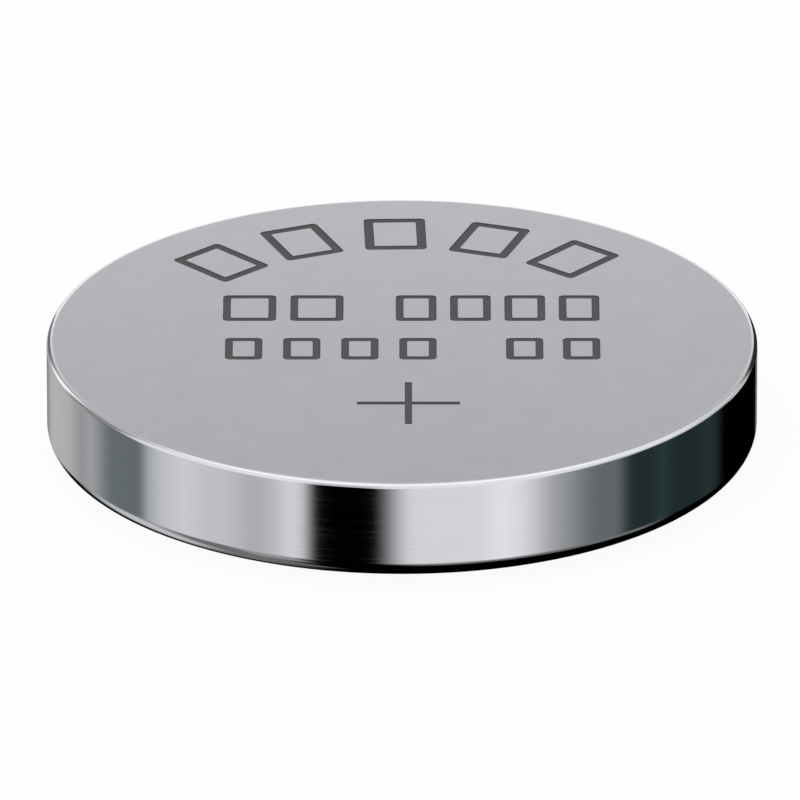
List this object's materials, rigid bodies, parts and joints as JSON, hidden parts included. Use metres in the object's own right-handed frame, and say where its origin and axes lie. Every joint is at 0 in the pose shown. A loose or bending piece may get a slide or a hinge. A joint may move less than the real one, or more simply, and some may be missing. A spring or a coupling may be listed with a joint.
{
  "type": "lithium coin cell",
  "caption": "Flat round cell: a drawn steel can with a flush face, its wall curled over a gasket that holds a stepped cap on the other side.",
  "frame": {"origin": "centre of the cap's contact face, on the cell's axis", "axes": "+Z along the axis, from the negative cap towards the positive can's face"},
  "size_m": [0.02, 0.02, 0.0032],
  "materials": {
    "can_steel": "satin face, polished wall and curl",
    "cap_steel": "fine satin, polished step",
    "gasket_plastic": "milky moulded polypropylene",
    "cathode_powder": "pressed black powder",
    "separator_film": "nonwoven film",
    "lithium_metal": "soft rolled strip, dull silver",
    "collector_steel": "expanded sheet"
  },
  "bodies": {
    "root": {"positive_can": "can_steel", "current_collector": "collector_steel", "cathode_pellet": "cathode_powder", "separator": "separator_film", "lithium_disc": "lithium_metal", "gasket": "gasket_plastic", "negative_cap": "cap_steel"}
  },
  "joints": []
}
